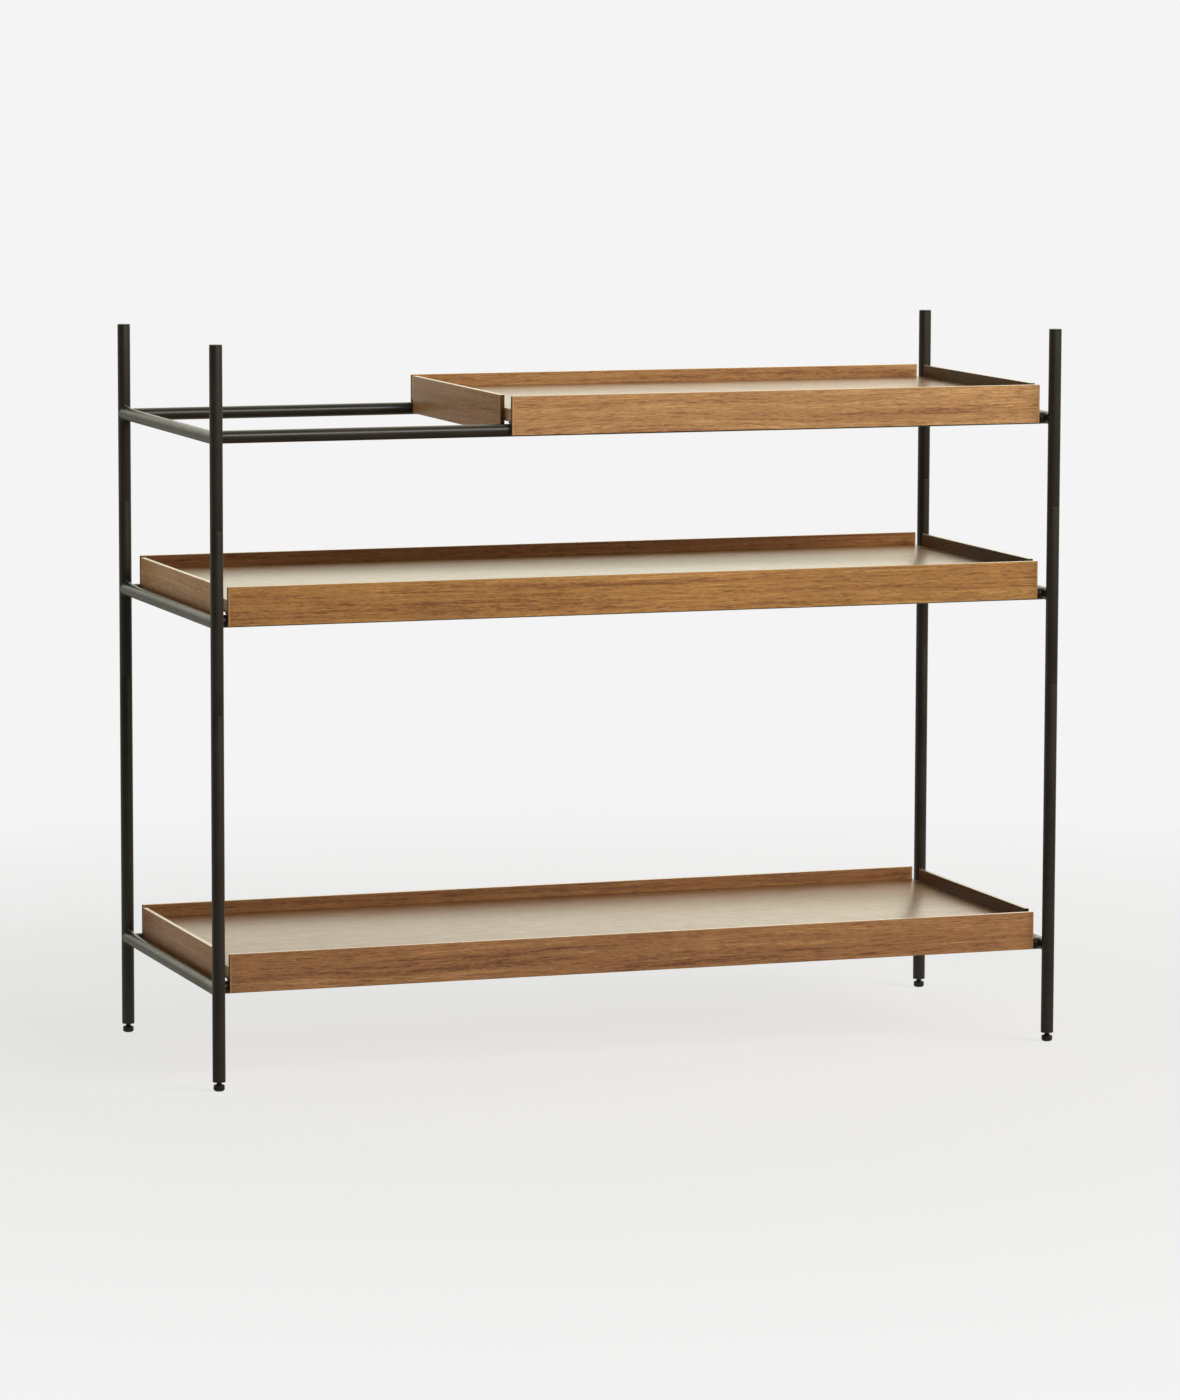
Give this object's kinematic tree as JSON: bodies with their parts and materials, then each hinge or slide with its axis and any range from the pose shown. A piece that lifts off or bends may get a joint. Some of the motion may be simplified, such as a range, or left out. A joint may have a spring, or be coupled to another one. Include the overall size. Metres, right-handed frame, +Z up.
{
  "type": "tray shelf",
  "caption": "Low open shelf: a black round-tube frame with rail rings that carry lipped walnut-veneer trays, one of them short and sliding, on screw-adjustable feet.",
  "frame": {"origin": "on the floor, in the middle of the four feet", "axes": "+X along the length towards the end that holds the short tray, +Y from the front to the rear, +Z up"},
  "size_m": [0.9902, 0.3982, 0.81],
  "materials": {
    "black_powder_coat": "satin",
    "steel_hardware": "blackened satin",
    "foot_plastic": "matte",
    "glide_rubber": "matte",
    "walnut_wall": "satin lacquer",
    "walnut_floor": "satin lacquer"
  },
  "bodies": {
    "frame": {"bottom_front_rail": "black_powder_coat", "bottom_left_cross_rail": "black_powder_coat", "bottom_rear_rail": "black_powder_coat", "bottom_right_cross_rail": "black_powder_coat", "foot_thread_inserts": "steel_hardware", "lower_joining_studs": "steel_hardware", "lower_post_front_left": "black_powder_coat", "lower_post_front_right": "black_powder_coat", "lower_post_rear_left": "black_powder_coat", "lower_post_rear_right": "black_powder_coat", "middle_front_rail": "black_powder_coat", "middle_left_cross_rail": "black_powder_coat", "middle_post_front_left": "black_powder_coat", "middle_post_front_right": "black_powder_coat", "middle_post_rear_left": "black_powder_coat", "middle_post_rear_right": "black_powder_coat", "middle_rear_rail": "black_powder_coat", "middle_right_cross_rail": "black_powder_coat", "post_top_caps": "black_powder_coat", "top_front_rail": "black_powder_coat", "top_left_cross_rail": "black_powder_coat", "top_rear_rail": "black_powder_coat", "top_right_cross_rail": "black_powder_coat", "upper_joining_studs": "steel_hardware", "upper_post_front_left": "black_powder_coat", "upper_post_front_right": "black_powder_coat", "upper_post_rear_left": "black_powder_coat", "upper_post_rear_right": "black_powder_coat"},
    "bottom_tray": {"bottom_tray_floor": "walnut_floor", "bottom_tray_front_wall": "walnut_wall", "bottom_tray_glide_pads": "glide_rubber", "bottom_tray_left_wall": "walnut_wall", "bottom_tray_rear_wall": "walnut_wall", "bottom_tray_right_wall": "walnut_wall"},
    "middle_tray": {"middle_tray_floor": "walnut_floor", "middle_tray_front_wall": "walnut_wall", "middle_tray_glide_pads": "glide_rubber", "middle_tray_left_wall": "walnut_wall", "middle_tray_rear_wall": "walnut_wall", "middle_tray_right_wall": "walnut_wall"},
    "top_tray": {"top_tray_floor": "walnut_floor", "top_tray_front_wall": "walnut_wall", "top_tray_glide_pads": "glide_rubber", "top_tray_left_wall": "walnut_wall", "top_tray_rear_wall": "walnut_wall", "top_tray_right_wall": "walnut_wall"},
    "front_left_foot": {"front_left_foot_stem": "steel_hardware"},
    "front_left_foot_base": {"front_left_foot_pad": "foot_plastic"},
    "front_right_foot": {"front_right_foot_stem": "steel_hardware"},
    "front_right_foot_base": {"front_right_foot_pad": "foot_plastic"},
    "rear_left_foot": {"rear_left_foot_stem": "steel_hardware"},
    "rear_left_foot_base": {"rear_left_foot_pad": "foot_plastic"},
    "rear_right_foot": {"rear_right_foot_stem": "steel_hardware"},
    "rear_right_foot_base": {"rear_right_foot_pad": "foot_plastic"}
  },
  "joints": [
    {"name": "bottom_tray_lift", "type": "slide", "parent": "frame", "child": "bottom_tray", "axis": [0, 0, 1], "range_m": [0, 0.12]},
    {"name": "middle_tray_lift", "type": "slide", "parent": "frame", "child": "middle_tray", "axis": [0, 0, 1], "range_m": [0, 0.12]},
    {"name": "top_tray_slide", "type": "slide", "parent": "frame", "child": "top_tray", "axis": [-1, 0, 0], "range_m": [0, 0.3215]},
    {"name": "front_left_foot_screw", "type": "slide", "parent": "frame", "child": "front_left_foot", "axis": [0, 0, -1], "range_m": [-0.0022, 0.008]},
    {"name": "front_left_foot_turn", "type": "hinge", "parent": "front_left_foot", "child": "front_left_foot_base", "pos_m": [-0.488, -0.192, 0.005], "axis": [0, 0, -1], "range_deg": [-793, 2881]},
    {"name": "front_right_foot_screw", "type": "slide", "parent": "frame", "child": "front_right_foot", "axis": [0, 0, -1], "range_m": [-0.0022, 0.008]},
    {"name": "front_right_foot_turn", "type": "hinge", "parent": "front_right_foot", "child": "front_right_foot_base", "pos_m": [0.488, -0.192, 0.005], "axis": [0, 0, -1], "range_deg": [-793, 2881]},
    {"name": "rear_left_foot_screw", "type": "slide", "parent": "frame", "child": "rear_left_foot", "axis": [0, 0, -1], "range_m": [-0.0022, 0.008]},
    {"name": "rear_left_foot_turn", "type": "hinge", "parent": "rear_left_foot", "child": "rear_left_foot_base", "pos_m": [-0.488, 0.192, 0.005], "axis": [0, 0, -1], "range_deg": [-793, 2881]},
    {"name": "rear_right_foot_screw", "type": "slide", "parent": "frame", "child": "rear_right_foot", "axis": [0, 0, -1], "range_m": [-0.0022, 0.008]},
    {"name": "rear_right_foot_turn", "type": "hinge", "parent": "rear_right_foot", "child": "rear_right_foot_base", "pos_m": [0.488, 0.192, 0.005], "axis": [0, 0, -1], "range_deg": [-793, 2881]}
  ],
  "couplings": [
    {"joint": "front_left_foot_turn", "follows": "front_left_foot_screw", "rad_per_m": 6283.2},
    {"joint": "front_right_foot_turn", "follows": "front_right_foot_screw", "rad_per_m": 6283.2},
    {"joint": "rear_left_foot_turn", "follows": "rear_left_foot_screw", "rad_per_m": 6283.2},
    {"joint": "rear_right_foot_turn", "follows": "rear_right_foot_screw", "rad_per_m": 6283.2}
  ]
}
